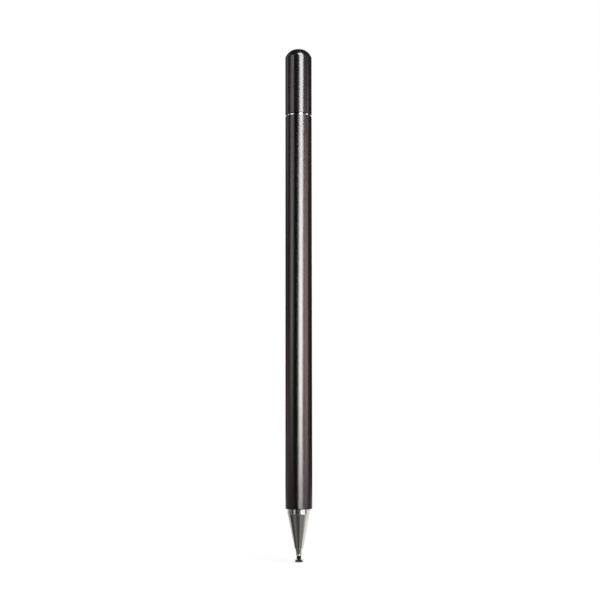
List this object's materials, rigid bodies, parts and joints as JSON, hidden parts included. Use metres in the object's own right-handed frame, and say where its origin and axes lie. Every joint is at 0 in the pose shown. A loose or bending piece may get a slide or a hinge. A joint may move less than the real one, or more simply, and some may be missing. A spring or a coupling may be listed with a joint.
{
  "type": "stylus pen",
  "caption": "Slim round stylus pen with a domed magnetic cap parked on its tail, a tapered bright nose and a clear disc tip that swivels and tilts on a ball joint.",
  "frame": {"origin": "centre of the disc tip's contact face, on the pen's axis", "axes": "+Z along the pen's axis from the tip to the domed end of the cap; X and Y across it, +X along the disc's tilt axis at rest"},
  "size_m": [0.009, 0.009, 0.1736],
  "materials": {
    "barrel_anodised": "satin dark anodised, fine blasted grain",
    "cap_gloss_black": "glossy black anodised",
    "bright_chrome": "polished chrome plate",
    "bush_brass": "turned brass",
    "magnet_nickel": "nickel plated",
    "liner_plastic": "black moulded plastic",
    "stem_steel": "turned steel",
    "hub_black": "black moulded conductive plastic",
    "disc_clear": "clear moulded plastic",
    "pad_conductive": "dark conductive film"
  },
  "bodies": {
    "pen": {"barrel": "barrel_anodised", "front_bush": "bush_brass", "nose_cone": "bright_chrome", "nib_holder": "bright_chrome", "trim_ring": "bright_chrome", "tail_spigot": "bright_chrome"},
    "cap": {"cap_shell": "cap_gloss_black", "cap_magnet": "magnet_nickel", "cap_liner": "liner_plastic"},
    "tip_stem": {"ball_stem": "stem_steel"},
    "tip_disc": {"disc_hub": "hub_black", "clear_disc": "disc_clear", "contact_pad": "pad_conductive"}
  },
  "joints": [
    {"name": "cap_pull", "type": "slide", "parent": "pen", "child": "cap", "axis": [0, 0, 1], "range_m": [0, 0.03]},
    {"name": "disc_swivel", "type": "hinge", "parent": "pen", "child": "tip_stem", "pos_m": [0, 0, 0.00145], "axis": [0, 0, 1], "continuous": true},
    {"name": "disc_tilt", "type": "hinge", "parent": "tip_stem", "child": "tip_disc", "pos_m": [0, 0, 0.00145], "axis": [1, 0, 0], "range_deg": [-30, 30]}
  ]
}
